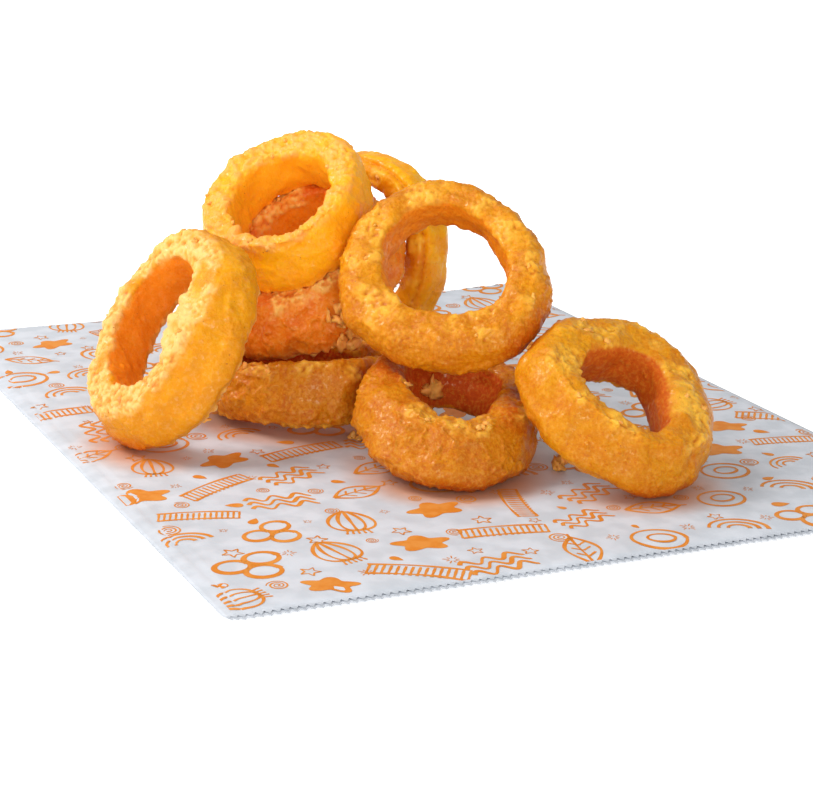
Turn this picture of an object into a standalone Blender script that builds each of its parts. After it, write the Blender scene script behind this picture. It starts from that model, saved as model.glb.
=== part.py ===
"""A side of onion rings: a heap of battered, fried rings lying on a flat greaseproof bag.

Sizes are in millimetres and angles in degrees until MM and radians() turn them to Blender's
units. +Z is up, +Y runs from the bag's open edge to its sealed back, and the origin is on the
surface that the bag lies on, under the bag's middle.
"""

from math import atan2, cos, exp, hypot, radians, sin

import bmesh
import bpy
from mathutils import Vector, noise

MM = 0.001

# The bag: a standard 10 by 12 inch one, lying empty and flat.
BAG_WIDTH = 254.0
BAG_LENGTH = 305.0
BAG_THICKNESS = 1.6
BAG_EDGE = 0.5
SIDE_FOLD = 6.0
MOUTH_STRIP = 8.0
CORNER_CUT = 5.0
EDGE_STEPS = 4

# Every ring: how finely it is divided, and how squarely its section is rounded.
AROUND = 44
ACROSS = 12
SQUARENESS = 3.2
SLOW_WAVE = 0.7
RIM_LUMP = 1.3
LUMP_SPACING = 9.0
WALL_RIPPLE = 0.4
REST_GAP = 0.4


def clear_scene():
    for thing in list(bpy.data.objects):
        bpy.data.objects.remove(thing, do_unlink=True)


def new_collection(name):
    collection = bpy.data.collections.new(name)
    bpy.context.scene.collection.children.link(collection)
    return collection


def matte(name, colour, roughness):
    """A dull Principled surface; colour is linear red, green and blue."""
    material = bpy.data.materials.new(name)
    material.use_nodes = True
    shader = material.node_tree.nodes["Principled BSDF"]
    shader.inputs["Base Color"].default_value = (*colour, 1.0)
    shader.inputs["Roughness"].default_value = roughness
    shader.inputs["Metallic"].default_value = 0.0
    return material


def adopt(thing, name, material, collection):
    """Names an object and its mesh, gives it its material and puts it in its collection."""
    thing.name = name
    thing.data.name = name
    thing.data.materials.clear()
    thing.data.materials.append(material)
    for home in list(thing.users_collection):
        home.objects.unlink(thing)
    collection.objects.link(thing)


def ease(value):
    """0 below 0, 1 above 1, and a smooth step between."""
    t = min(1.0, max(0.0, value))
    return t * t * (3.0 - 2.0 * t)


# The bag


def bag_top(x, y):
    """Height of the paper's upper side, which slopes down at the fold and at the mouth."""
    from_fold = x + BAG_WIDTH / 2
    from_mouth = y + BAG_LENGTH / 2
    fullness = ease(from_fold / SIDE_FOLD) * ease(from_mouth / MOUTH_STRIP)
    return BAG_EDGE + (BAG_THICKNESS - BAG_EDGE) * fullness


def make_bag(material, collection):
    """A sheet cut near its fold and mouth, closed into a slab and given its height."""
    bpy.ops.mesh.primitive_plane_add(size=1.0, location=(0.0, 0.0, 0.0))
    bag = bpy.context.object
    mesh = bmesh.new()
    mesh.from_mesh(bag.data)
    for corner in mesh.verts:
        corner.co = Vector((corner.co.x * BAG_WIDTH, corner.co.y * BAG_LENGTH, 0.0))
    steps = [step / EDGE_STEPS for step in range(1, EDGE_STEPS + 1)]
    cuts = [((SIDE_FOLD * step - BAG_WIDTH / 2, 0.0, 0.0), (1.0, 0.0, 0.0)) for step in steps]
    cuts += [((0.0, MOUTH_STRIP * step - BAG_LENGTH / 2, 0.0), (0.0, 1.0, 0.0)) for step in steps]
    for point, normal in cuts:
        everything = mesh.verts[:] + mesh.edges[:] + mesh.faces[:]
        bmesh.ops.bisect_plane(mesh, geom=everything, dist=0.001, plane_co=point, plane_no=normal)
    bmesh.ops.solidify(mesh, geom=mesh.faces[:], thickness=BAG_THICKNESS)
    middle = sum(point.co.z for point in mesh.verts) / len(mesh.verts)
    for point in mesh.verts:
        if point.co.z > middle:
            point.co.z = bag_top(point.co.x, point.co.y)
        else:
            point.co.z = 0.0
    corner = Vector((-BAG_WIDTH / 2, -BAG_LENGTH / 2))
    for point in mesh.verts:
        if (point.co.xy - corner).length < 0.01:
            point.co.x += CORNER_CUT / 2
            point.co.y += CORNER_CUT / 4
    bmesh.ops.recalc_face_normals(mesh, faces=mesh.faces[:])
    bmesh.ops.scale(mesh, vec=(MM, MM, MM), verts=mesh.verts[:])
    mesh.to_mesh(bag.data)
    mesh.free()
    adopt(bag, "greaseproof_bag", material, collection)


# The rings


def signed_power(value, power):
    return abs(value) ** power if value >= 0.0 else -(abs(value) ** power)


def wave(around, tightness, seed):
    """Seeded noise from -1 to 1 that closes on itself round a ring."""
    return noise.noise(Vector((tightness * cos(around), tightness * sin(around), 13.7 * seed)))


def angle_between(first, second):
    """The turn from one angle to another, brought within half a turn."""
    return atan2(sin(first - second), cos(first - second))


def flap_height(around, across, flaps):
    """How far the torn crusts and drips of batter stand out at one place on a ring."""
    total = 0.0
    for at, side, length, breadth, height in flaps:
        run = angle_between(around, radians(at)) / radians(length)
        rise = angle_between(across, radians(side)) / radians(breadth)
        total += height * exp(-run * run - rise * rise)
    return total


def batter_point(around, across, shape):
    """One surface point of a ring that lies flat, round the angle around and over the section."""
    seed = shape["seed"]
    wall = shape["wall"] + shape["thick"] * cos(around - radians(shape["thick_at"]))
    wall += SLOW_WAVE * wave(around, 1.3, seed + 0.3)
    outer = shape["radius"] + shape["oval"] * cos(2.0 * (around - radians(shape["oval_at"])))
    outer += shape["corner"] * cos(3.0 * (around - radians(shape["corner_at"])))
    outer += SLOW_WAVE * wave(around, 1.6, seed)
    tightness = shape["radius"] / LUMP_SPACING
    top_side = 1.0 if sin(across) >= 0.0 else 2.0
    rimness = sin(across) ** 2
    lump = RIM_LUMP * rimness * wave(around, tightness, seed + 31.0 * top_side)
    ripple = WALL_RIPPLE * (1.0 - rimness) * wave(around, 0.7 * tightness, seed + 57.0)
    out = (wall / 2 + ripple) * signed_power(cos(across), 2.0 / SQUARENESS)
    up = (shape["depth"] / 2 - RIM_LUMP / 3 + lump) * signed_power(sin(across), 2.0 / SQUARENESS)
    flap = flap_height(around, across, shape["flaps"])
    out += flap * cos(across)
    up += flap * sin(across)
    reach = outer - wall / 2 + out
    return Vector((reach * cos(around), reach * sin(around), up))


def make_ring(name, material, collection, place, lean, towards, **shape):
    """A torus shaped to one ring, then leaned by an angle towards a compass direction, and placed."""
    middle = shape["radius"] - shape["wall"] / 2
    thickness = shape["wall"] / 2
    bpy.ops.mesh.primitive_torus_add(
        major_segments=AROUND, minor_segments=ACROSS, major_radius=middle, minor_radius=thickness
    )
    ring = bpy.context.object
    for point in ring.data.vertices:
        x, y, z = point.co
        around = atan2(y, x)
        across = atan2(z, hypot(x, y) - middle)
        point.co = batter_point(around, across, shape) * MM
    ring.rotation_euler = (0.0, radians(lean), radians(towards))
    turned = ring.rotation_euler.to_matrix()
    lowest = min((turned @ point.co).z for point in ring.data.vertices) / MM
    height = place[2] if len(place) > 2 else REST_GAP - lowest
    ring.location = Vector((place[0], place[1], BAG_THICKNESS + height)) * MM
    ring.data.shade_smooth()
    adopt(ring, name, material, collection)
    return ring


# Place is a ring's middle: two numbers for a ring that stands or lies on the paper, and a third,
# its height above the paper, for one held up by others. Lean tips its axis from upright, towards
# a direction counted from +X. Radius is the mean outer one, wall the batter's width between hole
# and outside, and depth the ring's height along its axis. Oval, corner and thick say how far it
# is stretched, three-cornered and lopsided, each with the direction where that is greatest. A flap
# is its direction, its place on the section (0 outside, 90 upper rim, 180 in the hole), its length
# and breadth in degrees, and how far it stands out.
RINGS = {
    "ring_base": dict(
        seed=1, place=(-36.7, 9.5), lean=3, towards=61,
        radius=34.2, depth=19.4, wall=11.7, oval=0.9, oval_at=75, corner=0.3, corner_at=0,
        thick=0.6, thick_at=30, flaps=[(-125, 0, 9, 60, -1.4), (-98, -35, 16, 22, 1.0)],
    ),
    "ring_under": dict(
        seed=2, place=(-28.6, 25.4, 46.6), lean=35, towards=-155,
        radius=34.4, depth=21.6, wall=13.6, oval=2.5, oval_at=170, corner=0.7, corner_at=107,
        thick=4.4, thick_at=38, flaps=[(70, -70, 14, 26, 1.0), (118, -70, 10, 24, 1.0)],
    ),
    "ring_top": dict(
        seed=3, place=(-35.5, 27.7, 68.6), lean=36, towards=-154,
        radius=32.0, depth=20.2, wall=12.0, oval=1.5, oval_at=38, corner=0.6, corner_at=161,
        thick=1.9, thick_at=233, flaps=[(20, 120, 12, 22, 1.2), (60, 100, 8, 20, 0.9)],
    ),
    "ring_left": dict(
        seed=4, place=(-88.7, -3.2), lean=53, towards=-173,
        radius=35.7, depth=19.8, wall=16.0, oval=4.0, oval_at=27, corner=0.2, corner_at=98,
        thick=7.4, thick_at=89, flaps=[(100, 110, 16, 24, 1.2), (55, 130, 12, 24, 1.2)],
    ),
    "ring_leaning": dict(
        seed=5, place=(-4.3, -32.7, 56.0), lean=41, towards=-130,
        radius=36.4, depth=16.5, wall=15.3, oval=2.4, oval_at=42, corner=1.0, corner_at=75,
        thick=3.3, thick_at=-3, flaps=[(-60, 10, 6, 24, 1.8), (95, 100, 20, 26, 1.0)],
    ),
    "ring_back": dict(
        seed=6, place=(-0.9, 43.3), lean=83, towards=-157,
        radius=40.4, depth=15.8, wall=11.6, oval=2.6, oval_at=157, corner=0.7, corner_at=5,
        thick=0.5, thick_at=-13, flaps=[(-160, 60, 9, 26, 1.6), (-172, 20, 8, 26, 1.0)],
    ),
    "ring_front": dict(
        seed=7, place=(-13.8, -57.0), lean=11, towards=-87,
        radius=33.8, depth=20.4, wall=16.6, oval=3.6, oval_at=155, corner=0.3, corner_at=83,
        thick=8.0, thick_at=-53, flaps=[(20, 50, 16, 18, 1.2), (-10, 20, 14, 16, 1.2)],
    ),
    "ring_right": dict(
        seed=8, place=(33.1, -87.4), lean=31, towards=-75,
        radius=34.4, depth=20.2, wall=17.8, oval=0.9, oval_at=156, corner=1.4, corner_at=117,
        thick=1.0, thick_at=148, flaps=[(5, 110, 12, 20, 1.6), (-12, 60, 10, 22, -1.2)],
    ),
}


def main():
    clear_scene()
    parts = new_collection("onion_rings_side")
    paper = matte("white_greaseproof_paper", (0.80, 0.82, 0.85), 0.6)
    make_bag(paper, parts)
    for name, ring in RINGS.items():
        batter = matte("fried_batter_" + name, (0.86, 0.42, 0.06), 0.55)
        make_ring(name, batter, parts, **ring)


main()
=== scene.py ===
# %% [markdown]
# # A side of onion rings
# Eight battered rings lie heaped on a flat greaseproof bag. The solids of this heap come from the
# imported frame: their sizes and places are right, but their skin is plain. This lesson gives them
# the crust of real frying, gives the bag its paper and print, and lights the whole like a menu.

# %% Load the frame
import math
import random
from types import SimpleNamespace

import bpy
import numpy as np
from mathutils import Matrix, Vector, noise
from mathutils.bvhtree import BVHTree


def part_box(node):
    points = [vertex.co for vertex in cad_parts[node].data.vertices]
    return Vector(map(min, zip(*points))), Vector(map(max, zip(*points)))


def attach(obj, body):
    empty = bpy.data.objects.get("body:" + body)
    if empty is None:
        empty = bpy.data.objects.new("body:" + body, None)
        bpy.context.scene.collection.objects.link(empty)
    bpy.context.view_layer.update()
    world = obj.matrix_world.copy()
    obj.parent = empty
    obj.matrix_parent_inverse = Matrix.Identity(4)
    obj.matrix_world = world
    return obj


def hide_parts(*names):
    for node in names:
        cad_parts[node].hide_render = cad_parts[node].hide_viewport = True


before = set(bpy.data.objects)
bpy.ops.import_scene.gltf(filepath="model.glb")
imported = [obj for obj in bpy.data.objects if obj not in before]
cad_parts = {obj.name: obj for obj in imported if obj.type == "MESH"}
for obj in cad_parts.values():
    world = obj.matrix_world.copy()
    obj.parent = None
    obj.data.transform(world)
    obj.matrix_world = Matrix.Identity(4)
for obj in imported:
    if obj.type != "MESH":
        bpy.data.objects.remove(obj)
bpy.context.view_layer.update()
MM = 0.001
bpy.ops.object.select_all(action="DESELECT")
print("solids in the frame:", sorted(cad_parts))

# %% [markdown]
# ## Camera
# Food like this is taken from table height with a long lens, so that the heap looks tall and its
# rings keep their shape. The camera stands 0.7 m from the heap and looks down by 17 degrees.

# %% Camera
bpy.ops.object.camera_add(location=(-0.3183, -0.6369, 0.2228))
camera = bpy.context.object
camera.rotation_euler = [math.radians(turn) for turn in (72.98, -2.12, -25.91)]
camera.data.lens = 93.03
camera.data.sensor_width = 36.0
camera.data.dof.use_dof = False
bpy.context.scene.camera = camera
print("camera to the middle of the bag:", round(camera.location.length, 3), "m")

# %% [markdown]
# ## Floor and light
# A white sweep under soft light gives the clean ground of a menu picture. One broad lamp high on
# the left, a little behind the heap, lights the rims and leaves the near walls in soft shade. The
# white world and two weak lamps, left and front, fill that shade, and the white ground bounces
# into it.

# %% Floor and light
FLOOR_DROP = 0.0006
WORLD_LIGHT = 0.52


def area_lamp(name, place, aim, size, power):
    """A square soft box at a place, turned to shine at a point."""
    bpy.ops.object.light_add(type="AREA", location=place)
    lamp = bpy.context.object
    lamp.name = name
    lamp.data.size = size
    lamp.data.energy = power
    lamp.rotation_euler = (Vector(aim) - Vector(place)).to_track_quat("-Z", "Y").to_euler()
    return lamp


bpy.context.scene.view_settings.view_transform = "Standard"
world = bpy.data.worlds.new("studio_white")
bpy.context.scene.world = world
world.use_nodes = True
world.node_tree.nodes["Background"].inputs["Color"].default_value = (1.0, 1.0, 1.0, 1.0)
world.node_tree.nodes["Background"].inputs["Strength"].default_value = WORLD_LIGHT
area_lamp("key_behind_left", (-0.52, 0.26, 0.68), (0.0, 0.0, 0.03), 0.45, 5.7)
area_lamp("fill_left", (-0.85, -0.45, 0.28), (0.0, 0.0, 0.04), 0.6, 0.9)
area_lamp("fill_front", (-0.30, -0.90, 0.30), (0.0, 0.0, 0.05), 0.5, 3.1)
bpy.ops.mesh.primitive_plane_add(size=14.0, location=(0.0, 0.0, -FLOOR_DROP))
floor = bpy.context.object
floor.name = "studio_floor"

# %% [markdown]
# ## Helpers for materials
# Colours are picked as sRGB hex values, as a paint chart gives them. Blender's shaders work in
# linear light, so one function turns each value. A second one adds a node with its settings and
# links, so that each material below reads as a short list of what it is mixed from.

# %% Colour and node helpers


def linear(hex_colour):
    """An sRGB colour such as "#f2a31b" as linear red, green, blue and alpha."""
    parts = [int(hex_colour[i : i + 2], 16) / 255 for i in (1, 3, 5)]
    return [p / 12.92 if p <= 0.04045 else ((p + 0.055) / 1.055) ** 2.4 for p in parts] + [1.0]


def add_node(tree, kind, settings=None, values=None, links=None):
    """Adds one node: its own fields, its socket values, and the nodes or sockets that feed it."""
    made = tree.nodes.new(kind)
    for field, value in (settings or {}).items():
        setattr(made, field, value)
    for socket, value in (values or {}).items():
        made.inputs[socket].default_value = value
    for socket, source in (links or {}).items():
        if isinstance(source, bpy.types.Node):
            source = next(out for out in source.outputs if out.enabled)
        tree.links.new(source, made.inputs[socket])
    return made


def new_material(name, values):
    """An empty Principled material with its constant values set on the shader itself."""
    made = bpy.data.materials.new(name)
    made.use_nodes = True
    shader = made.node_tree.nodes["Principled BSDF"]
    for socket, value in values.items():
        shader.inputs[socket].default_value = value
    return made, made.node_tree, shader


# Fields that many nodes below share: a colour mix, and a stretch of values with eased ends.
COLOUR_MIX = {"data_type": "RGBA"}
EASED = {"interpolation_type": "SMOOTHSTEP"}
print("orange ink as linear light:", [round(part, 3) for part in linear("#e0832a")])

# %% [markdown]
# ## Floor paint
# The floor is a plain matt white. It glows a little near the heap and fully from half a metre
# away, as a sweep does that is lit from behind, so the ground runs into pure white.

# %% Floor paint
floor_paint, tree, shader = new_material("matt_white_sweep", {"Roughness": 0.9})
shader.inputs["Base Color"].default_value = linear("#fafafa")
shader.inputs["Emission Color"].default_value = (1.0, 1.0, 1.0, 1.0)
where = add_node(tree, "ShaderNodeTexCoord").outputs["Object"]
away = add_node(tree, "ShaderNodeVectorMath", {"operation": "LENGTH"}, None, {0: where})
reach = {"From Min": 0.15, "From Max": 0.55, "To Min": 0.3, "To Max": 1.0}
glow = add_node(tree, "ShaderNodeMapRange", EASED, reach, {"Value": away.outputs["Value"]})
tree.links.new(glow.outputs["Result"], shader.inputs["Emission Strength"])
floor.data.materials.append(floor_paint)
print("floor paint:", floor_paint.name)

# %% [markdown]
# ## Helpers for meshes
# Every piece is shaped by reading its points, moving them in millimetres and writing them back.
# Modifiers are added and applied one at a time, so a finished piece is a plain mesh.

# %% Mesh helpers


def make_active(thing):
    bpy.ops.object.select_all(action="DESELECT")
    thing.select_set(True)
    bpy.context.view_layer.objects.active = thing


def apply_modifier(thing, kind, **settings):
    """Adds one modifier with its settings and applies it."""
    modifier = thing.modifiers.new(kind.lower(), kind)
    for field, value in settings.items():
        setattr(modifier, field, value)
    make_active(thing)
    bpy.ops.object.modifier_apply(modifier=modifier.name)


def points_of(thing):
    flat = np.zeros(len(thing.data.vertices) * 3)
    thing.data.vertices.foreach_get("co", flat)
    return flat.reshape(-1, 3)


def write_points(thing, points):
    thing.data.vertices.foreach_set("co", points.astype(np.float32).ravel())
    thing.data.update()


def joined(name, parts):
    """Joins objects into the first of them, under a new name."""
    bpy.ops.object.select_all(action="DESELECT")
    for part in parts:
        part.select_set(True)
    bpy.context.view_layer.objects.active = parts[0]
    bpy.ops.object.join()
    parts[0].name = name
    return parts[0]


def ease(value, low, high):
    """0 below low, 1 above high, and a smooth step between, for numbers or arrays."""
    share = np.clip((value - low) / (high - low), 0.0, 1.0)
    return share * share * (3.0 - 2.0 * share)


print("ease halfway:", float(ease(0.5, 0.0, 1.0)))

# %% [markdown]
# ## The lie of the paper
# The heap lies on a flat paper bag, but paper never is quite flat: it swells and dips by half a
# millimetre, bends down to its folds and has a sharp crease beside them. A cloth simulation would
# give creases nobody chose, so the height is one function of place, made of slow sine waves and
# eased steps. The print and the crumbs use it too, so that they follow the paper.

# %% Height of the paper
BAG_LOW, BAG_HIGH = (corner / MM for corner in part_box("greaseproof_bag"))
BAG_WIDTH = BAG_HIGH.x - BAG_LOW.x
BAG_LENGTH = BAG_HIGH.y - BAG_LOW.y
PAPER = 0.14
SIDE_FOLD = 6.0
MOUTH_BEND = 9.0
LIFT_AT_FOLD = 0.3
FLAT_LIFT = BAG_HIGH.z - 0.55


def paper_height(x, y):
    """Height of the upper sheet's top at places in millimetres, for arrays."""
    from_sides = np.minimum(x - BAG_LOW.x, BAG_HIGH.x - x)
    fold = ease(from_sides, -0.5, SIDE_FOLD)
    fold = fold * ease(y - BAG_LOW.y, -1.5, MOUTH_BEND) * ease(BAG_HIGH.y - y, -0.5, SIDE_FOLD)
    waves = 0.16 * np.sin(x / 19.0 + 0.8 * np.sin(y / 41.0)) + 0.14 * np.sin(y / 23.0 + x / 57.0)
    curl = 2.6 * ease(x - BAG_LOW.x, 190.0, 250.0) * ease(y, 20.0, 140.0)
    curl = curl * (0.6 + 0.4 * np.sin(y / 21.0))
    crease = 0.4 * np.exp(-(((x - BAG_LOW.x - SIDE_FOLD) / 0.9) ** 2)) * fold
    return LIFT_AT_FOLD + (FLAT_LIFT + waves + curl) * fold - crease


print("paper height in the middle:", round(float(paper_height(0.0, 0.0)), 2), "mm")

# %% [markdown]
# ## The two sheets of the bag
# A greaseproof bag is two sheets of thin paper, folded together at the sides and pinked along the
# mouth by a toothed blade, where the upper sheet is cut a little shorter. Each sheet starts as a
# grid with two columns for a tooth, so that every other point of the front row can be drawn back.
# It takes its height from the function above and its thickness from a Solidify modifier.

# %% Paper sheets
TOOTH_PITCH = 2.54
TOOTH_DEPTH = 1.5
ROW_STEP = 3.8
CORNER_REACH = 5.0


def paper_sheet(name, height, inset):
    """One thin sheet with a pinked front edge, drawn back from the mouth by inset."""
    teeth = round(BAG_WIDTH / TOOTH_PITCH)
    rows = round(BAG_LENGTH / ROW_STEP)
    bpy.ops.mesh.primitive_grid_add(x_subdivisions=2 * teeth, y_subdivisions=rows, size=1.0)
    sheet = bpy.context.object
    sheet.name = name
    points = points_of(sheet)
    column = np.round((points[:, 0] + 0.5) * 2 * teeth).astype(int)
    front = points[:, 1] < -0.5 + 0.5 / rows
    points[:, 0] *= BAG_WIDTH - 2 * PAPER
    points[:, 1] = BAG_LOW.y + inset + (points[:, 1] + 0.5) * (BAG_LENGTH - inset - PAPER)
    points[:, 1] += np.where(front & (column % 2 == 1), TOOTH_DEPTH, 0.0)
    from_corner = np.hypot(points[:, 0] - BAG_LOW.x, points[:, 1] - BAG_LOW.y)
    corner = ease(from_corner, CORNER_REACH, 0.0)
    points[:, 0] += 1.6 * corner
    points[:, 1] += 0.9 * corner
    points[:, 2] = height(points[:, 0], points[:, 1])
    write_points(sheet, points * MM)
    apply_modifier(sheet, "SOLIDIFY", thickness=PAPER * MM, offset=-1.0)
    sheet.data.shade_smooth()
    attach(sheet, "root")
    print(sheet.name, len(sheet.data.polygons), "faces")
    return sheet


upper = paper_sheet("paper_upper_sheet", paper_height, 1.2)
lower = paper_sheet("paper_lower_sheet", lambda x, y: PAPER + 0.0 * x, 0.0)
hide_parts("greaseproof_bag")

# %% [markdown]
# ## Where things touch
# Where a ring touches another or rests on the paper, it lies in shade and the light between them
# bounces orange. That is painted: the batter there turns deep orange as painted shade, and the
# paper takes a warm orange-brown painted shade. Each point of a mesh is measured against the solids
# round it, and its closeness is kept on the mesh as a number, for the material to read.

# %% Closeness
RINGS = [name for name in sorted(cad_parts) if name.startswith("ring_")]


def close_to(points, names, reach):
    """How close each point lies to these solids: 1 where it touches, 0 beyond the reach, in mm."""
    corners, faces = [], []
    for name in names:
        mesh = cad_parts[name].data
        faces += [[len(corners) + corner for corner in face.vertices] for face in mesh.polygons]
        corners += [vertex.co for vertex in mesh.vertices]
    tree = BVHTree.FromPolygons(corners, faces)
    found = [tree.find_nearest(Vector(point), reach * MM)[3] for point in points * MM]
    gaps = np.array([reach if gap is None else gap / MM for gap in found])
    return ease(gaps, reach, 0.0)


def store(thing, name, values):
    """Keeps one number per point on the mesh, for its material to read."""
    stored = thing.data.attributes.new(name, "FLOAT", "POINT")
    stored.data.foreach_set("value", np.clip(values, 0.0, 1.0).astype(np.float32))


print("rings:", RINGS)

# %% [markdown]
# ## Greaseproof paper
# This paper is beaten and pressed until it holds no pores, so it is smooth, cool white and a
# little glassy. Its base is nearly flat in tone; faint clouds of 9 mm come from the uneven pulp,
# and a bump of slow dents of 24 mm, the same clouds and fibres of 1 mm breaks up the light.

# %% Greaseproof paper
WARM_SHADE_REACH = 14.0
# Painted shade: the paper near the rings is tinted warm orange-brown, standing in for their shadow and the
# orange light bounced from the batter.
store(upper, "painted_warm_shade", close_to(points_of(upper) / MM, RINGS, WARM_SHADE_REACH))
greaseproof, tree, shader = new_material("greaseproof_paper", {"Roughness": 0.5})
shader.inputs["Specular IOR Level"].default_value = 0.4
where = add_node(tree, "ShaderNodeTexCoord").outputs["Object"]
dents = add_node(tree, "ShaderNodeTexNoise", None, {"Scale": 1 / (24 * MM)}, {"Vector": where})
pulp = add_node(tree, "ShaderNodeTexNoise", None, {"Scale": 1 / (9 * MM)}, {"Vector": where})
fibre = add_node(tree, "ShaderNodeTexNoise", None, {"Scale": 1 / (1 * MM)}, {"Vector": where})
cloud = add_node(tree, "ShaderNodeMapRange", EASED, {"From Min": 0.35, "From Max": 0.65}, {"Value": pulp})
whites = {6: linear("#c6cbd2"), 7: linear("#d3d7de")}
tone = add_node(tree, "ShaderNodeMix", COLOUR_MIX, whites, {0: cloud})
# Painted warm shade: the tint grows with closeness to a ring.
painted_warm_shade = add_node(tree, "ShaderNodeAttribute", {"attribute_name": "painted_warm_shade"}).outputs["Fac"]
share = add_node(tree, "ShaderNodeMath", {"operation": "MULTIPLY"}, {1: 0.8}, {0: painted_warm_shade})
tone = add_node(tree, "ShaderNodeMix", COLOUR_MIX, {7: linear("#cf8030")}, {0: share, 6: tone})
depth = {"Strength": 0.6, "Distance": 2.2 * MM}
slow = add_node(tree, "ShaderNodeBump", None, depth, {"Height": dents})
depth = {"Strength": 0.5, "Distance": 0.4 * MM}
soft = add_node(tree, "ShaderNodeBump", None, depth, {"Height": pulp, "Normal": slow})
depth = {"Strength": 0.3, "Distance": 0.08 * MM}
fine = add_node(tree, "ShaderNodeBump", None, depth, {"Height": fibre, "Normal": soft})
tree.links.new(tone.outputs[2], shader.inputs["Base Color"])
tree.links.new(fine.outputs["Normal"], shader.inputs["Normal"])
for sheet in (upper, lower):
    sheet.data.materials.append(greaseproof)
print("paper:", greaseproof.name)

# %% [markdown]
# ## Strokes of ink
# The print looks drawn with a brush pen: lines 1 to 2 mm wide that swell and thin. A stroke is a
# grid one cell wide, bent along a formula; a blob is a filled circle pulled into shape. Both lie
# flat round the origin and are measured in millimetres, so a motif is a short list of them.

# %% Strokes and blobs


def stroke(path, width, steps=24, start=0.0, end=1.0):
    """A ribbon of ink along path(t), for t from start to end; its width swells by a quarter."""
    bpy.ops.mesh.primitive_grid_add(x_subdivisions=steps, y_subdivisions=1, size=1.0)
    ribbon = bpy.context.object
    points = points_of(ribbon)
    for point in points:
        t = start + (point[0] + 0.5) * (end - start)
        here, ahead = Vector(path(t)), Vector(path(t + 0.002))
        run = (ahead - here).normalized()
        half = width / 2 * (1.0 + 0.25 * math.sin(9.0 * t + width))
        side = half * (1.0 if point[1] > 0 else -1.0)
        point[:2] = here.x - run.y * side, here.y + run.x * side
        point[2] = 0.0
    write_points(ribbon, points)
    return ribbon


def blob(path, steps=20):
    """A filled shape inside path(t), for t from 0 to 1."""
    bpy.ops.mesh.primitive_circle_add(vertices=steps, fill_type="TRIFAN")
    shape = bpy.context.object
    points = points_of(shape)
    for point in points:
        share = math.hypot(point[0], point[1])
        around = math.atan2(point[1], point[0]) / (2 * math.pi) % 1.0
        x, y = path(around)
        point[:2] = x * share, y * share
    write_points(shape, points)
    return shape


def oval(width, height, x=0.0, y=0.0):
    def path(t):
        turn = 2 * math.pi * t
        return x + width / 2 * math.cos(turn), y + height / 2 * math.sin(turn)

    return path


def line(x0, y0, x1, y1, bend=0.0):
    def path(t):
        bow = bend * math.sin(math.pi * t)
        return x0 + (x1 - x0) * t + bow * (y0 - y1) * 0.1, y0 + (y1 - y0) * t + bow * (x1 - x0) * 0.1

    return path


def star(radius, points=5, waist=0.45):
    def path(t):
        corner = t * 2 * points
        low = int(corner)
        share = corner - low
        ends = []
        for k in (low, low + 1):
            reach = radius * (1.0 if k % 2 == 0 else waist)
            turn = math.pi * k / points
            ends.append((-reach * math.sin(turn), reach * math.cos(turn)))
        return tuple(a + (b - a) * share for a, b in zip(*ends))

    return path


def onion_side(size, squeeze):
    """Half an onion's outline, from the root at the bottom to the tip at the top."""

    def path(t):
        turn = math.pi * t
        belly = abs(math.sin(turn)) ** 0.8 * (1.0 - 0.25 * t)
        return squeeze * size * belly, size * (-0.8 * math.cos(turn) + 0.35 * t**6)

    return path


def spiral(size, turns):
    def path(t):
        turn = 2 * math.pi * turns * t
        return size * t * math.cos(turn), size * t * math.sin(turn)

    return path


print("stroke test:", [round(part, 2) for part in star(10.0)(0.05)])

# %% [markdown]
# ## Motifs
# The print is a scatter of kitchen doodles: onions, rings, stars, leaves, curls, hatched bars,
# waves, sparks and dots. Each is drawn once, its strokes are joined, and the sheet repeats it.

# %% Motifs


def draw_onion():
    parts = [stroke(onion_side(11.0, squeeze), 1.4, 20) for squeeze in (-0.95, -0.5, 0.0, 0.5, 0.95)]
    parts += [stroke(line(-4.0 + 2 * k, -9.0, -5.0 + 2.5 * k, -12.5), 1.0, 4) for k in range(5)]
    return joined("onion", parts)


def draw_ring():
    return joined("ring", [stroke(oval(22.0, 18.0), 1.6, 36), stroke(oval(11.0, 8.0, 1.0, 0.5), 1.4, 24)])


def draw_rings():
    places = ((-6.0, 2.0), (6.0, 4.0), (1.0, -6.0))
    return joined("rings", [stroke(oval(12.0, 10.0, x, y), 2.2, 24) for x, y in places])


def draw_star():
    return joined("star", [stroke(star(9.0), 1.4, 40)])


def draw_bar():
    parts = [stroke(line(-17.0, y, 17.0, y, 0.4), 1.2, 14) for y in (-4.0, 4.0)]
    parts += [stroke(line(x, -4.0, x + 1.0, 4.0), 1.0, 3) for x in np.arange(-17.0, 17.5, 2.4)]
    return joined("bar", parts)


def draw_spiral():
    return joined("spiral", [stroke(spiral(10.0, 3.0), 1.5, 60, 0.08)])


def draw_leaf():
    sides = [stroke(line(-12.0, 0.0, 12.0, 0.0, bend), 1.3, 16) for bend in (-2.6, 2.6)]
    veins = [stroke(line(x, 0.0, x + 3.0, y), 0.9, 3) for x in (-6.0, -1.0, 4.0) for y in (-3.6, 3.6)]
    return joined("leaf", sides + veins + [stroke(line(-12.0, 0.0, 15.0, 0.0, 0.3), 1.0, 10)])


def draw_waves():
    def ripple(offset):
        return lambda t: (26.0 * t - 13.0, offset + 2.2 * math.sin(t * 5.5 * math.pi))

    return joined("waves", [stroke(ripple(offset), 1.5, 36) for offset in (-4.5, 0.0, 4.5)])


def draw_drop():
    def path(t):
        turn = 2 * math.pi * t
        return 6.5 * math.sin(turn) * abs(math.sin(turn / 2)), -8.0 * math.cos(turn)

    return joined("drop", [blob(lambda t: path(t + 0.25), 24)])


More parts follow.
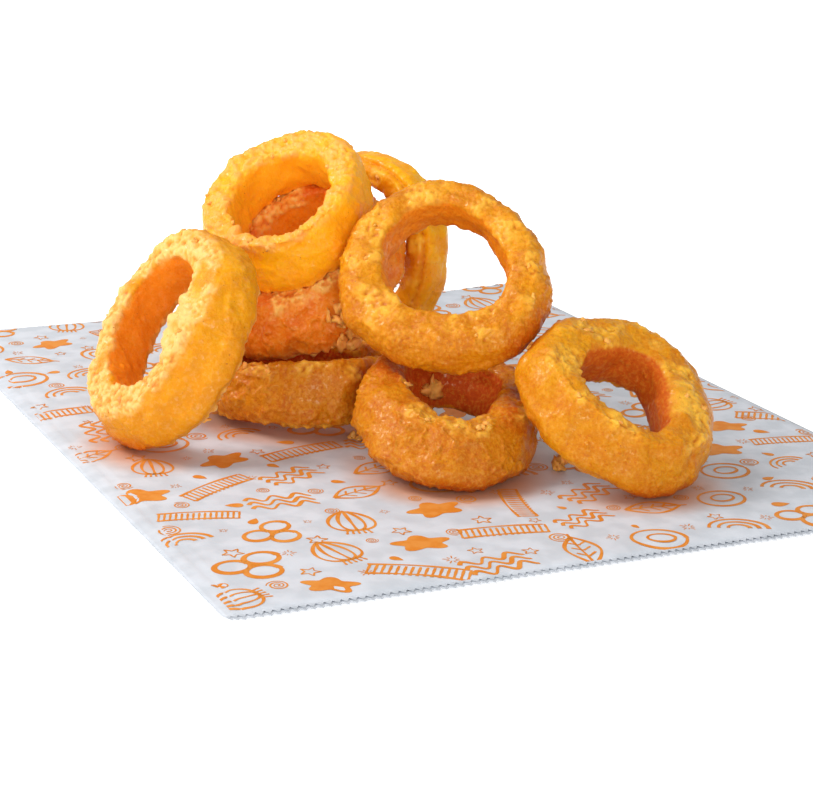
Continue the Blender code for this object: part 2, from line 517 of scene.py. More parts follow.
def draw_cloud():
    def path(t):
        turn = 2 * math.pi * t
        reach = 8.0 + 1.8 * math.sin(5 * turn)
        return 1.25 * reach * math.cos(turn), 0.8 * reach * math.sin(turn)

    return joined("cloud", [blob(path, 50)])


def draw_spark():
    parts = []
    for k in range(9):
        turn = 2 * math.pi * k / 9
        far = 7.5 if k % 2 else 5.5
        near = (2.6 * math.cos(turn), 2.6 * math.sin(turn))
        parts.append(stroke(line(*near, far * math.cos(turn), far * math.sin(turn)), 1.0, 3))
    return joined("spark", parts)


def draw_arc():
    parts = [stroke(oval(size, size * 0.8), 1.5, 20, 0.0, 0.5) for size in (22.0, 15.0, 8.0)]
    return joined("arc", parts)


LARGE = [draw_onion(), draw_ring(), draw_bar(), draw_rings()]
LARGE += [draw_leaf(), draw_cloud(), draw_arc(), draw_waves()]
SMALL = [draw_star(), draw_spark(), draw_spiral(), draw_drop()]
print("motifs:", [thing.name for thing in LARGE + SMALL])

# %% [markdown]
# ## Laying out the print
# The motifs fill staggered rows 22 mm apart, each turned and sized a little by a seeded random
# number, with small ones in the gaps. All copies become one piece of ink, which is trimmed to the
# flat of the bag and laid 0.06 mm above the paper.

# %% Print layout
ROW = 22.0
COLUMN = 27.0
INK_LIFT = 0.06
INK_MARGIN = 3.0
random.seed(12)


def stamped(motif, x, y, turn, size):
    """A copy of a motif, with its own mesh, turned, sized and placed on the paper."""
    stamp = motif.copy()
    stamp.data = motif.data.copy()
    bpy.context.scene.collection.objects.link(stamp)
    points = points_of(stamp)
    across, along = [math.cos(turn), math.sin(turn)], [-math.sin(turn), math.cos(turn)]
    points[:, :2] = points[:, :2] @ np.array([across, along]) * size + [x, y]
    write_points(stamp, points)
    return stamp


stamps = []
for row in range(round(BAG_LENGTH / ROW)):
    for column in range(round(BAG_WIDTH / COLUMN) + 1):
        x = BAG_LOW.x + 8.0 + COLUMN * column + (12.0 if row % 2 else 0.0)
        x += random.uniform(-2.0, 2.0)
        y = BAG_LOW.y + 11.0 + ROW * row + random.uniform(-2.0, 2.0)
        large = LARGE[(3 * row + 5 * column + row // 3) % len(LARGE)]
        turn = random.uniform(-0.6, 0.6) + (math.pi / 2 if random.random() < 0.15 else 0.0)
        stamps.append(stamped(large, x, y, turn, random.uniform(0.7, 0.9)))
        for right, ahead in ((13.5, 5.0), (-1.5, 11.0)):
            small = random.choice(SMALL)
            turn, size = random.uniform(0.0, 6.0), random.uniform(0.2, 0.4)
            stamps.append(stamped(small, x + right, y + ahead, turn, size))
for motif in LARGE + SMALL:
    bpy.data.objects.remove(motif)
ink = joined("print_ink", stamps)
make_active(ink)
bpy.ops.object.mode_set(mode="EDIT")
for low_side, place in ((1, BAG_LOW), (-1, BAG_HIGH)):
    for axis in (0, 1):
        plane = [0.0, 0.0, 0.0]
        normal = [0.0, 0.0, 0.0]
        plane[axis] = place[axis] + low_side * INK_MARGIN
        normal[axis] = -1.0 * low_side
        bpy.ops.mesh.select_all(action="SELECT")
        bpy.ops.mesh.bisect(plane_co=plane, plane_no=normal, clear_outer=True)
bpy.ops.object.mode_set(mode="OBJECT")
points = points_of(ink)
points[:, 2] = paper_height(points[:, 0], points[:, 1]) + INK_LIFT
write_points(ink, points * MM)
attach(ink, "root")
print("print:", len(ink.data.polygons), "faces")

# %% [markdown]
# ## Ink
# Food-safe flexo ink soaks into the paper, so it has the paper's dull finish. It prints a little
# unevenly, which clouds of 4 mm between two near oranges give.

# %% Ink
flexo_ink, tree, shader = new_material("flexo_ink_orange", {"Roughness": 0.6})
shader.inputs["Specular IOR Level"].default_value = 0.3
where = add_node(tree, "ShaderNodeTexCoord").outputs["Object"]
uneven = add_node(tree, "ShaderNodeTexNoise", None, {"Scale": 1 / (4 * MM)}, {"Vector": where})
share = add_node(tree, "ShaderNodeMapRange", EASED, {"From Min": 0.35, "From Max": 0.65}, {"Value": uneven})
oranges = {6: linear("#d97f20"), 7: linear("#e08e38")}
tone = add_node(tree, "ShaderNodeMix", COLOUR_MIX, oranges, {0: share})
tree.links.new(tone.outputs[2], shader.inputs["Base Color"])
ink.data.materials.append(flexo_ink)
print("ink:", flexo_ink.name)

# %% [markdown]
# ## Reading a ring
# Every ring lies at its own tilt, so its crust is worked in its own directions. A copy of the
# solid is merged, since the frame's mesh is loose triangles, and remeshed to even squares small
# enough to carry crumbs. The ring's axis is the direction in which its points spread least. Round
# that axis, the inner and outer radius and the height of the rims are measured in steps of five
# degrees, which tells for each point where on the section it sits: across the wall from -1 at the
# hole to 1 outside, and up from -1 at the lower rim to 1 at the upper one.

# %% Copy and measure a solid
VOXEL = 0.6 * MM
STEPS = 72


def fine_copy(node_name, name):
    """A merged, evenly meshed copy of one solid, as a new object."""
    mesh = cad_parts[node_name].data.copy()
    thing = bpy.data.objects.new(name, mesh)
    bpy.context.scene.collection.objects.link(thing)
    mesh.materials.clear()
    make_active(thing)
    bpy.ops.object.mode_set(mode="EDIT")
    bpy.ops.mesh.select_all(action="SELECT")
    bpy.ops.mesh.remove_doubles(threshold=0.01 * MM)
    bpy.ops.mesh.tris_convert_to_quads()
    bpy.ops.object.mode_set(mode="OBJECT")
    apply_modifier(thing, "SUBSURF", levels=1, render_levels=1)
    apply_modifier(thing, "REMESH", mode="VOXEL", voxel_size=VOXEL)
    return thing


def ring_axes(points):
    """Centre and three directions: downhill across the ring, level across it, and its axis."""
    centre = points.mean(axis=0)
    _, _, rows = np.linalg.svd((points - centre)[::17], full_matrices=False)
    axis = rows[2] * (1.0 if rows[2][2] > 0 else -1.0)
    level = np.cross([0.0, 0.0, 1.0], axis)
    level /= np.linalg.norm(level)
    return centre, np.array([np.cross(level, axis), level, axis])


def round_the_ring(around, values, pick):
    """The lowest or highest value in each step round the ring, read back smoothly per point."""
    steps = ((around / (2 * np.pi)) % 1.0 * STEPS).astype(int) % STEPS
    found = np.array([pick(values[steps == step]) for step in range(STEPS)])
    found = (np.roll(found, 1) + 2 * found + np.roll(found, -1)) / 4
    middles = (np.arange(STEPS) + 0.5) * 2 * np.pi / STEPS
    return np.interp(around, middles, found, period=2 * np.pi)


print("size of the squares:", VOXEL / MM, "mm")

# %% [markdown]
# ## Working across the section
# Reading tells where each point sits: its angle round the ring, across the wall and up between
# the rims. Writing puts it back from those three. Between the two, a change of form is a short
# sum on across or up, and it holds for a ring at any tilt.

# %% Read and write a section


def read_section(thing):
    """For each point of a ring: its angle round the ring, and its place across and up."""
    at = SimpleNamespace()
    points = points_of(thing) / MM
    at.centre, at.axes = ring_axes(points)
    local = (points - at.centre) @ at.axes.T
    at.around = np.arctan2(local[:, 1], local[:, 0])
    radius = np.hypot(local[:, 0], local[:, 1])
    inner, outer = (round_the_ring(at.around, radius, pick) for pick in (np.min, np.max))
    low, high = (round_the_ring(at.around, local[:, 2], pick) for pick in (np.min, np.max))
    at.middle, at.half_wall = (inner + outer) / 2, (outer - inner) / 2
    at.level, at.half_depth = (low + high) / 2, (high - low) / 2
    at.across = (radius - at.middle) / at.half_wall
    at.up = (local[:, 2] - at.level) / at.half_depth
    return at


def write_section(thing, at):
    """Moves the points to where their angle, across and up now say."""
    radius = at.middle + at.across * at.half_wall
    height = at.level + at.up * at.half_depth
    local = np.stack([radius * np.cos(at.around), radius * np.sin(at.around), height], axis=1)
    write_points(thing, (local @ at.axes + at.centre) * MM)


def near_angle(at, degrees, width):
    """1 at this angle round the ring, fading to 0 over this width, both in degrees."""
    away = (np.degrees(at.around) - degrees + 180.0) % 360.0 - 180.0
    return np.exp(-((away / width) ** 2))


print("steps round a ring:", STEPS, "of", 360 / STEPS, "degrees")

# %% [markdown]
# ## The form of each ring
# A cut onion ring has flat rims and straight walls, and the batter rounds them by as much as it
# is thick. So the section is made squarer, more so towards the hole, where the batter is thin.
# Onion layers are cones, not tubes: where a ring's wall leans, its rim is narrower. Some rings
# also stand taller at one place, or have a hole like a cup. Each ring's figures are listed here.

# %% Forms
INNER_SHARPER = 1.6
# square: 2 is a round section, 4 nearly a box. rough: height of the crumbs, 1 is normal.
# bare: the share of the rims that has no open crust. flaky: height of thin wrinkles, 1 is normal.
# grain: height of the fine grain on the walls, 1 is normal.
FORMS = {
    "ring_top": {"batter": "pale", "square": 3.4, "rough": 1.2, "bare": 0, "flaky": 0.2, "grain": 0.3},
    "ring_left": {"batter": "cream", "square": 3.3, "rough": 1.1, "bare": 0, "flaky": 0.3, "grain": 0.3},
    "ring_under": {"batter": "rust", "square": 3, "rough": 1.3, "bare": 0, "flaky": 1.1, "grain": 0.5},
    "ring_leaning": {"batter": "golden", "square": 2.5, "rough": 1, "bare": 0.4, "flaky": 0.6, "grain": 1},
    "ring_back": {"batter": "honey", "square": 2.8, "rough": 0.7, "bare": 0.7, "flaky": 0.3, "grain": 0.4},
    "ring_right": {"batter": "amber", "square": 2.6, "rough": 1, "bare": 0.5, "flaky": 0.4, "grain": 0.4},
    "ring_front": {"batter": "brown", "square": 2.4, "rough": 0.9, "bare": 0.7, "flaky": 1.2, "grain": 0.5},
    "ring_base": {"batter": "brown", "square": 2.6, "rough": 1.1, "bare": 0.5, "flaky": 1.4, "grain": 0.6},
}
# lean: angle in degrees and the share by which the rim is drawn in there.
LEANS = {
    "ring_top": (45, 0.45),
    "ring_left": (75, 0.45),
    "ring_under": (54, 0.35),
    "ring_leaning": (20, 0.15),
    "ring_right": (-60, 0.45),
    "ring_front": (-33, 0.45),
    "ring_base": (-175, 0.3),
}
LEAN_WIDTH = 70.0
# tall: angles, and by how many millimetres the rim is raised there.
# A rim that hangs lower has a number below nought.
TALL = {
    "ring_under": ((-136, 3.0), (20, 2.0), (60, -3.0)),
    "ring_base": ((-160, 4.0), (-60, 3.5)),
}
TALL_WIDTH = 45.0
# cup: the share by which a hole narrows downwards.
CUPS = {"ring_front": 1.0}
# groove: how deep the line runs, in millimetres, where two layers of onion part under the batter.
GROOVES = {"ring_back": 1.5}


def square_up(at, square):
    """Pushes each point outwards until the section is this square."""
    exponent = square + INNER_SHARPER * ease(-at.across, -0.3, 0.6)
    size = (np.abs(at.across) ** exponent + np.abs(at.up) ** exponent) ** (1.0 / exponent)
    size = np.maximum(size, 0.5)
    at.across, at.up = at.across / size, at.up / size


def lean_wall(at, degrees, share):
    """Draws the outer edge of the upper rim in, so that the wall below it leans."""
    edge = ease(at.up, -0.6, 1.0) * ease(at.across, -0.4, 1.0)
    at.across = at.across - 2 * share * near_angle(at, degrees, LEAN_WIDTH) * edge


def stand_taller(at, degrees, rise):
    """Raises the upper rim by this many millimetres at one angle, or lowers the lower rim."""
    share = near_angle(at, degrees, TALL_WIDTH) * ease(at.up * math.copysign(1.0, rise), -0.5, 1.0)
    at.up = at.up + rise / at.half_depth * share


def groove_on(at):
    """1 along a line between the upper rim and the outer wall, and 0 away from it."""
    return np.exp(-(((at.across - 0.6) / 0.2) ** 2)) * ease(at.up, 0.3, 0.7)


def cup_hole(at, share):
    """Narrows the hole towards its lower end."""
    at.across = at.across - share * ease(-at.across, -0.4, 1.0) * ease(-at.up, -0.8, 1.0)


print("forms:", len(FORMS))

# %% [markdown]
# ## Crust
# Batter clings unevenly. Slow swells of 12 mm bend the outline, and dents of 5 mm break it. On the
# rims, where it is thick and open, it sets in lumps of 4 mm with crumbs of 2 mm on them. The walls
# run smoother, with soft creases along the ring, thin wrinkles where the skin slipped, and a stray
# crumb here and there. Along the edges it hangs in small lips. Each layer is noise, given by its
# size and its height in millimetres, and lifts the skin along its normals. Rounded lumps come
# from cell noise: the distance to the nearest seed, turned over. Wrinkles lie where smooth noise
# crosses zero.

# %% Crust layers
SWELL = (12.0, 1.0)
DENT = (6.0, 0.65)
LUMP = (3.6, 0.45)
CRUMB = (2.0, 0.3)
CRUST = (2.6, 0.6)
GRAIN = (1.5, 0.3)
CREASE = (4.0, 0.3)
CREASE_RUN = 4.0
WRINKLE = (8.0, 0.8)
WRINKLE_WIDTH = 0.09
STRAY = (6.0, 0.5)
LIP = (4.6, 1.6)
CONTACT_SHADE_REACH = 9.0


def noise_at(points, size, octaves=2):
    """Fractal noise, about -1 to 1, at points in millimetres, with lumps of this size."""
    return np.array([noise.fractal(Vector(p), 1.0, 2.0, octaves) for p in points / size])


def lumps_at(points, size):
    """Rounded lumps of this size: 1 on top of a lump, 0 in the gaps between them."""
    basis = "VORONOI_F1"
    found = np.array([noise.noise(Vector(p), noise_basis=basis) for p in points / size])
    return 0.5 - 0.5 * found


def rim_and_inside(at, ragged):
    """How much each point belongs to a rim, and how much to the inside of the hole."""
    rim = ease(np.abs(at.up) + ragged, 0.68, 0.95) * ease(at.across + ragged, 1.06, 0.82)
    inside = ease(-at.across + ragged, 0.62, 0.9) * (1.0 - rim)
    return rim, inside


print("lumps at three places:", lumps_at(np.array([[0, 0, 0], [1, 2, 3], [4, 4, 4.0]]), 4.0).round(2))

# %% [markdown]
# ## Marks
# Beside its noise each ring has marks of its own, where a crumb stuck, a bubble burst or the
# batter ran: a bump or pit at an angle, across and up, with its reach and its lift in millimetres.

# %% Marks
MARKS = {
    "ring_top": [(-8, -0.6, 0.9, 2.2, 1.7), (1, -0.2, 1.0, 2.0, 1.6), (9, -0.7, 0.9, 2.4, 1.9)]
    + [(18, -0.3, 1.0, 2.2, 1.6), (-18, -0.5, 1.0, 2.2, 1.4), (27, -0.6, 0.9, 2.0, 1.2)],
    "ring_left": [(100, -1.0, 0.8, 11.0, 2.6), (150, -1.0, 0.7, 6.0, 1.2), (35, 0.3, 1.0, 3.0, 1.2)],
    "ring_leaning": [(40, 0.6, 0.9, 4.0, -1.5), (102, 1.0, 0.2, 4.0, -1.8), (-50, 1.0, 0.2, 4.5, 2.0)],
    "ring_right": [(-22, 0.2, 0.7, 3.2, -1.6), (-31, 0.1, 0.8, 2.2, 1.4), (45, -1.0, 0.8, 9.0, 3.0)],
    "ring_front": [(-40, 0.3, 0.9, 4.0, -0.9), (165, -0.9, 0.9, 5.0, 1.6), (60, -1.0, 0.7, 10.0, 2.6)],
    "ring_base": [(-150, 0.9, 0.9, 4.5, 1.4), (-175, 1.0, -0.8, 5.0, 1.2), (165, 1.0, 0.5, 3.5, -0.9)],
    "ring_under": [(62, 1.0, -1.0, 3.6, 2.2), (40, 1.0, 0.5, 3.5, -1.0), (76, 1.0, -1.0, 2.8, 2.0)],
    "ring_back": [(140, 0.0, 0.9, 4.0, 1.4), (60, -0.2, 0.9, 3.0, -1.0)],
}


def marks_on(at, marks):
    """How far these marks lift each point, in millimetres."""
    lift = np.zeros_like(at.up)
    radius = at.middle + at.across * at.half_wall
    for degrees, across, up, reach, height in marks:
        turn = (at.around - math.radians(degrees) + np.pi) % (2 * np.pi) - np.pi
        along, over = turn * radius, (at.across - across) * at.half_wall
        far = along**2 + over**2 + ((at.up - up) * at.half_depth) ** 2
        lift += height * np.exp(-far / reach**2)
    return lift


print("marks:", sum(len(marks) for marks in MARKS.values()))

# %% [markdown]
# ## Lifting the skin
# A displacement texture would lift every place alike, but batter differs from rim to wall to
# hole. So each layer is worked out for all points at once, weighed by where the point sits, and
# added up, and the sum moves the point along its normal. No point may sink into the paper. The
# same shares are kept on the mesh, so that colour and relief agree.

# %% Lift the skin


def crust_layers(points, at):
    """Every layer of noise at these points, in one set."""
    run = at.around * at.middle / CREASE_RUN
    flow = np.stack([run, at.across * at.half_wall, at.up * at.half_depth], axis=1) + at.centre
    layers = SimpleNamespace()
    layers.swell = noise_at(points, SWELL[0])
    layers.dent = noise_at(points + 7.0, DENT[0])
    layers.grain = noise_at(points + 57.0, GRAIN[0], 3)
    layers.patch = noise_at(points + 19.0, 11.0)
    layers.lump = ease(lumps_at(points, LUMP[0]), 0.3, 0.85)
    layers.crumb = ease(lumps_at(points + 31.0, CRUMB[0]), 0.35, 0.85)
    layers.crust = noise_at(points + 101.0, CRUST[0], 3)
    layers.crease = noise_at(flow, CREASE[0], 3)
    fold = noise_at(points * [1.0, 1.0, 1.7] + 43.0, WRINKLE[0])
    layers.wrinkle = np.exp(-((fold / WRINKLE_WIDTH) ** 2)) * ease(layers.patch, -0.3, 0.2)
    layers.stray = ease(lumps_at(points + 83.0, STRAY[0]), 0.8, 0.95)
    layers.lip = np.maximum(0.0, noise_at(points + 11.0, LIP[0]))
    return layers


def lift_crust(thing, at, form, ring_name):
    """Lifts a ring's skin into batter and stores four attributes for its material."""
    points = points_of(thing) / MM
    layers = crust_layers(points, at)
    rim, inside = rim_and_inside(at, 0.14 * layers.dent + 0.06 * layers.grain)
    from_patch = 0.9 * form["bare"] - 0.5
    crust = rim * ease(layers.patch, from_patch, from_patch + 0.4)
    edge = np.exp(-(((np.abs(at.up) - 0.9) / 0.12) ** 2)) * ease(np.abs(at.across), 0.6, 0.9)
    on_crust = LUMP[1] * (layers.lump - 0.45) + CRUMB[1] * (layers.crumb - 0.2)
    on_crust = form["rough"] * (on_crust + CRUST[1] * layers.crust)
    on_wall = CREASE[1] * layers.crease * (1.0 - 0.5 * inside) + STRAY[1] * layers.stray
    on_wall += form["flaky"] * WRINKLE[1] * layers.wrinkle * (1.0 - inside)
    fine = GRAIN[1] * layers.grain * (form["grain"] + (1.0 - form["grain"]) * rim)
    fine *= 1.0 - 0.6 * inside
    groove = GROOVES.get(ring_name, 0.0) * groove_on(at)
    mark = marks_on(at, MARKS[ring_name]) - groove
    lift = SWELL[1] * layers.swell + DENT[1] * layers.dent + fine + mark
    lift += crust * on_crust + (1.0 - crust) * on_wall + form["rough"] * LIP[1] * edge * layers.lip
    normals = np.zeros(points.size)
    thing.data.vertices.foreach_get("normal", normals)
    points += normals.reshape(-1, 3) * lift[:, None]
    points[:, 2] = np.maximum(points[:, 2], paper_height(points[:, 0], points[:, 1]) + 0.1)
    write_points(thing, points * MM)
    relief = 0.5 * crust * on_crust + 0.35 * (1.0 - crust) * on_wall + 0.9 * fine + 0.1 * mark
    others = [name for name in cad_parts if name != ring_name]
    # Painted contact shade: near other solids and along the groove, the batter is marked to turn deep
    # orange.
    store(thing, "painted_contact_shade", close_to(points, others, CONTACT_SHADE_REACH) * (1.0 - crust) + 0.3 * groove)
    store(thing, "crust", crust)
    store(thing, "inside", inside)
    store(thing, "height", 0.45 + relief)


print("the ring with most marks:", max(MARKS, key=lambda ring: len(MARKS[ring])))

# %% [markdown]
# ## Frying the rings
# Each ring goes through the same steps: copied and meshed finely, squared up, drawn in or raised
# where its figures say so, and crusted. The solid it came from is left as it was and is replaced
# by the new piece.

# %% Fry the rings
fried = []
for ring in RINGS:
    form = FORMS[ring]
    crusty = fine_copy(ring, "fried_" + ring)
    section = read_section(crusty)
    square_up(section, form["square"])
    if ring in LEANS:
        lean_wall(section, *LEANS[ring])
    for place in TALL.get(ring, ()):
        stand_taller(section, *place)
    if ring in CUPS:
        cup_hole(section, CUPS[ring])
    write_section(crusty, section)
    lift_crust(crusty, section, form, ring)
    crusty.data.shade_smooth()
    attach(crusty, "root")
    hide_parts(ring)
    fried.append(crusty)
    print(crusty.name, len(crusty.data.polygons), "faces")

# %% [markdown]
# ## Fried batter
# Batter fries from the outside: thin smooth walls stay yellow, thick rough rims turn pale and
# crisp at their tips, and those tips also carry a painted highlight. The inside of a hole, a place
# where rings touch and the pits of the crust are darkened to a deep orange as painted shade, and
# the batter browns towards the bottom of the heap, partly as painted shade. The meshes carry that
# as attributes: crust, inside, the painted contact shade and height. The material blends five
# colours by them, with mottling of 7 mm and rare brown specks of 1 mm; its fine grain is lighter
# on its tips and darker in its troughs, partly as painted highlight and shade.
# Bubbles of 0.7 mm are too fine to model, so they are bump. Oil lies on the tips of the grain as
# a clear coat, which gives small glints, and some light passes through the batter.

# %% Fried batter


def batter_material(name, wall, browned, inside, pale_crest_and_highlight, painted_shade, grainy):
    """Fried batter in five colours, and how strongly its fine grain shows."""
    made, tree, shader = new_material(name, {"IOR": 1.4, "Subsurface Weight": 0.25})
    shader.inputs["Specular IOR Level"].default_value = 0.22
    shader.inputs["Subsurface Radius"].default_value = (1.0, 0.4, 0.1)
    shader.inputs["Subsurface Scale"].default_value = 1.6 * MM
    where = add_node(tree, "ShaderNodeTexCoord").outputs["Object"]
    crust = add_node(tree, "ShaderNodeAttribute", {"attribute_name": "crust"}).outputs["Fac"]
    in_hole = add_node(tree, "ShaderNodeAttribute", {"attribute_name": "inside"}).outputs["Fac"]
    height = add_node(tree, "ShaderNodeAttribute", {"attribute_name": "height"}).outputs["Fac"]
    painted_contact_shade = add_node(tree, "ShaderNodeAttribute", {"attribute_name": "painted_contact_shade"}).outputs["Fac"]
    level = add_node(tree, "ShaderNodeSeparateXYZ", None, None, {0: where}).outputs["Z"]
    size = {"Scale": 1 / (7 * MM), "Detail": 4.0}
    mottle = add_node(tree, "ShaderNodeTexNoise", None, size, {"Vector": where})
    size = {"Scale": 1 / (1.3 * MM), "Detail": 3.0, "Roughness": 0.65}
    grain = add_node(tree, "ShaderNodeTexNoise", None, size, {"Vector": where})
    size = {"Scale": 1 / (1.1 * MM), "Detail": 1.0}
    specks = add_node(tree, "ShaderNodeTexNoise", None, size, {"Vector": where})
    size = {"Scale": 1 / (0.7 * MM), "Detail": 3.0, "Roughness": 0.6}
    bubbles = add_node(tree, "ShaderNodeTexNoise", None, size, {"Vector": where})

    span = {"From Min": 0.38, "From Max": 0.66, "To Max": 0.7}
    share = add_node(tree, "ShaderNodeMapRange", EASED, span, {"Value": mottle})
    pair = {6: linear(wall), 7: linear(browned)}
    base = add_node(tree, "ShaderNodeMix", COLOUR_MIX, pair, {0: share})

    # Browner towards the bottom of the heap: partly painted shade of the low rings, which lie in shade, and
    # partly their longer time in the oil.
    span = {"From Min": 70 * MM, "From Max": 25 * MM, "To Max": 0.6}
    share = add_node(tree, "ShaderNodeMapRange", EASED, span, {"Value": level})
    base = add_node(tree, "ShaderNodeMix", COLOUR_MIX, {7: linear(browned)}, {0: share, 6: base})

    # Painted shade: the inside of the hole is darkened to its own deeper orange.
    span = {"From Min": 0.2, "From Max": 0.9}
    share = add_node(tree, "ShaderNodeMapRange", EASED, span, {"Value": in_hole})
    base = add_node(tree, "ShaderNodeMix", COLOUR_MIX, {7: linear(inside)}, {0: share, 6: base})

    # Painted contact shade: deep orange where another solid is near.
    share = add_node(tree, "ShaderNodeMath", {"operation": "MULTIPLY"}, {1: 0.85}, {0: painted_contact_shade})
    base = add_node(tree, "ShaderNodeMix", COLOUR_MIX, {7: linear(painted_shade)}, {0: share, 6: base})

    # The fine grain: its tips turn to the pale crest colour and its troughs to the deep orange, partly its
    # own speckled colour and partly a painted highlight and painted shade.
    span = {"From Min": 0.48, "From Max": 0.62, "To Max": grainy}
    share = add_node(tree, "ShaderNodeMapRange", EASED, span, {"Value": grain})
    base = add_node(tree, "ShaderNodeMix", COLOUR_MIX, {7: linear(pale_crest_and_highlight)}, {0: share, 6: base})

    span = {"From Min": 0.46, "From Max": 0.34, "To Max": 1.6 * grainy}
    share = add_node(tree, "ShaderNodeMapRange", EASED, span, {"Value": grain})
    base = add_node(tree, "ShaderNodeMix", COLOUR_MIX, {7: linear(painted_shade)}, {0: share, 6: base})

    # Raised tips of the open crust turn pale: partly pale crisp crust, and partly a painted highlight.
    span = {"From Min": 0.3, "From Max": 0.62, "To Min": 0.3, "To Max": 0.9}
    tips = add_node(tree, "ShaderNodeMapRange", EASED, span, {"Value": height})
    share = add_node(tree, "ShaderNodeMath", {"operation": "MULTIPLY"}, None, {0: crust, 1: tips})
    base = add_node(tree, "ShaderNodeMix", COLOUR_MIX, {7: linear(pale_crest_and_highlight)}, {0: share, 6: base})

    # Painted shade: the low places of the relief, its pits and gaps, are darkened to deep orange.
    span = {"From Min": 0.34, "From Max": 0.05, "To Max": 0.6}
    share = add_node(tree, "ShaderNodeMapRange", EASED, span, {"Value": height})
    base = add_node(tree, "ShaderNodeMix", COLOUR_MIX, {7: linear(painted_shade)}, {0: share, 6: base})

    span = {"From Min": 0.74, "From Max": 0.8, "To Max": 0.7}
    share = add_node(tree, "ShaderNodeMapRange", EASED, span, {"Value": specks})
    base = add_node(tree, "ShaderNodeMix", COLOUR_MIX, {7: linear("#a8551c")}, {0: share, 6: base})

    span = {"To Min": 0.34, "To Max": 0.65}
    dull = add_node(tree, "ShaderNodeMapRange", EASED, span, {"Value": in_hole})
    tree.links.new(dull.outputs["Result"], shader.inputs["Roughness"])

    span = {"From Min": 0.53, "From Max": 0.63, "To Max": 0.45}
    oil = add_node(tree, "ShaderNodeMapRange", EASED, span, {"Value": grain})
    tree.links.new(oil.outputs["Result"], shader.inputs["Coat Weight"])
    shader.inputs["Coat Roughness"].default_value = 0.16

    depth = {"Strength": 0.7, "Distance": 0.4 * MM}
    coarse = add_node(tree, "ShaderNodeBump", None, depth, {"Height": grain})
    depth = {"Strength": 0.8, "Distance": 0.25 * MM}
    bump = add_node(tree, "ShaderNodeBump", None, depth, {"Height": bubbles, "Normal": coarse})
    tree.links.new(base.outputs[2], shader.inputs["Base Color"])
    tree.links.new(bump.outputs["Normal"], shader.inputs["Normal"])
    return made


# Columns: the wall, its browned mottle, the painted shade inside the hole, the pale crest with its
# painted highlight, the deep orange painted as shade where rings touch and in pits, and how strongly
# the grain shows. No two rings stay in the oil for the same time: pale and cream came out first and
# look soft and light, rust and golden are crisper, amber and brown are the darkest and look hard.
# Honey turns red along its groove, as painted shade.
BATTERS = {
    "cream": ("#e89e08", "#d8860a", "#f08a14", "#f8c474", "#d4600a", 0.1),
    "pale": ("#ffb208", "#ffa40a", "#ffae14", "#faac50", "#fa960e", 0.12),
    "rust": ("#fa9a18", "#e46e10", "#fc9c18", "#ffc868", "#dc6010", 0.2),
    "honey": ("#ffb808", "#f0940a", "#f49410", "#fcc040", "#cc5c0c", 0.12),
    "golden": ("#dc8e08", "#c06a08", "#e07c08", "#f2b03a", "#b84c0a", 0.22),
    "amber": ("#e29e08", "#cc760a", "#c85c0e", "#f2b63c", "#b4400a", 0.18),
    "brown": ("#e09608", "#be640a", "#c4500c", "#ecb03e", "#ac3a0a", 0.22),
}
batters = {name: batter_material("fried_batter_" + name, *tones) for name, tones in BATTERS.items()}
for ring, crusty in zip(RINGS, fried):
    crusty.data.materials.append(batters[FORMS[ring]["batter"]])
print("batters:", sorted(batters))

# %% [markdown]
# ## Loose crumbs
# Bits of batter set on their own in the oil. They stick to the open crust of the rims, gather
# where rings touch, and a few lie on the paper. Each starts as a small icosphere, is stretched at
# random, dented by noise and sunk a little into what it sticks to. All of them are one piece.

# %% Crumbs
CRUMBS_PER_RING = 12
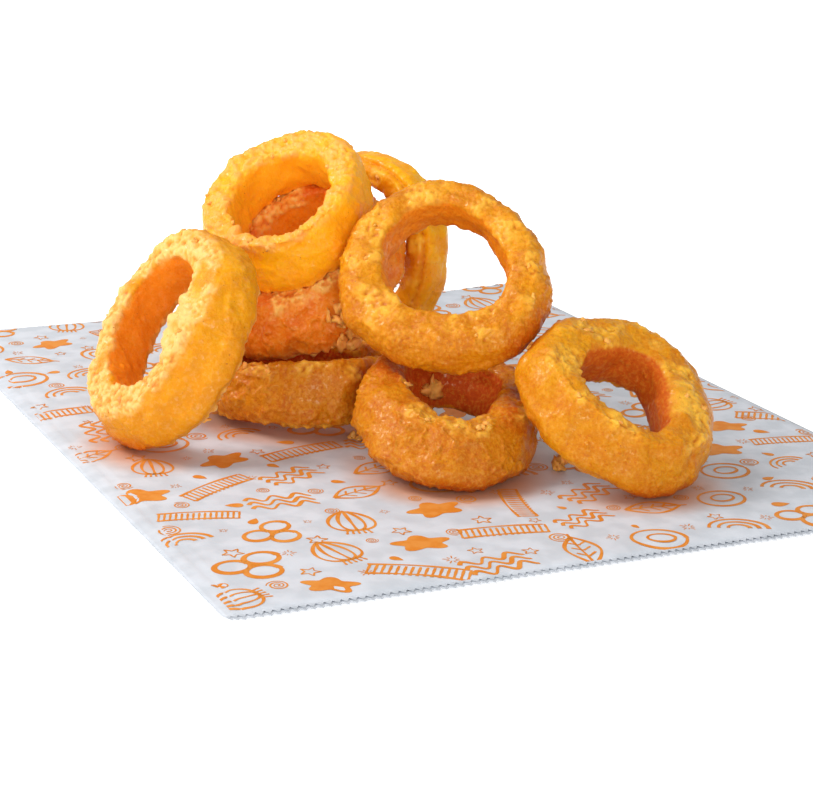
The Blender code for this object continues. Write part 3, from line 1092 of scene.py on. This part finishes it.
# Where crumbs gather: middle, spread, number and size, in millimetres.
CLUSTERS = (
    ((-29.0, -6.0, 38.0), 3.5, 9, 1.6),
    ((-25.0, -5.0, 31.5), 3.2, 10, 1.7),
    ((-8.5, -35.0, 20.5), 2.4, 9, 1.7),
    ((-30.0, -24.0, 3.0), 4.0, 4, 1.1),
    ((19.0, -76.0, 2.6), 3.0, 5, 1.3),
    ((-25.0, 5.0, 60.0), 3.5, 6, 1.1),
    ((24.0, -48.0, 34.0), 3.0, 5, 1.2),
)
random.seed(5)


def crumb(place, size):
    """One lump of batter round a place, both in millimetres."""
    bpy.ops.mesh.primitive_ico_sphere_add(subdivisions=2, radius=1.0)
    lump = bpy.context.object
    points = points_of(lump)
    stretch = [random.uniform(0.5, 1.6) for _ in range(3)]
    push = 1.0 + 0.9 * noise_at(points + place, 0.8)
    write_points(lump, (points * push[:, None] * stretch * size + place) * MM)
    return lump


lumps = []
for crusty in fried:
    points = points_of(crusty) / MM
    crust = np.zeros(len(points))
    crusty.data.attributes["crust"].data.foreach_get("value", crust)
    for spot in random.sample(list(np.flatnonzero(crust > 0.5)), CRUMBS_PER_RING):
        lumps.append(crumb(points[spot], random.uniform(0.5, 1.1)))
for middle, spread, number, size in CLUSTERS:
    for _ in range(number):
        place = np.array([random.gauss(part, spread / 2) for part in middle])
        place[2] = max(place[2], paper_height(place[0], place[1]) + 0.6 * size)
        lumps.append(crumb(place, size * random.uniform(0.6, 1.3)))
crumbs = joined("batter_crumbs", lumps)
bpy.ops.object.transform_apply(location=True, rotation=True, scale=True)
points = points_of(crumbs) / MM
points[:, 2] = np.maximum(points[:, 2], paper_height(points[:, 0], points[:, 1]) + 0.1)
write_points(crumbs, points * MM)
crumbs.data.shade_smooth()
store(crumbs, "crust", np.full(len(crumbs.data.vertices), 0.7))
store(crumbs, "height", 0.55 + 0.15 * noise_at(points_of(crumbs) / MM, 2.0))
# Painted shade: every crumb takes a little of the deep contact colour.
store(crumbs, "painted_contact_shade", np.full(len(crumbs.data.vertices), 0.3))
crumbs.data.materials.append(batters["rust"])
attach(crumbs, "root")
print("crumbs:", len(lumps), "with", len(crumbs.data.polygons), "faces")
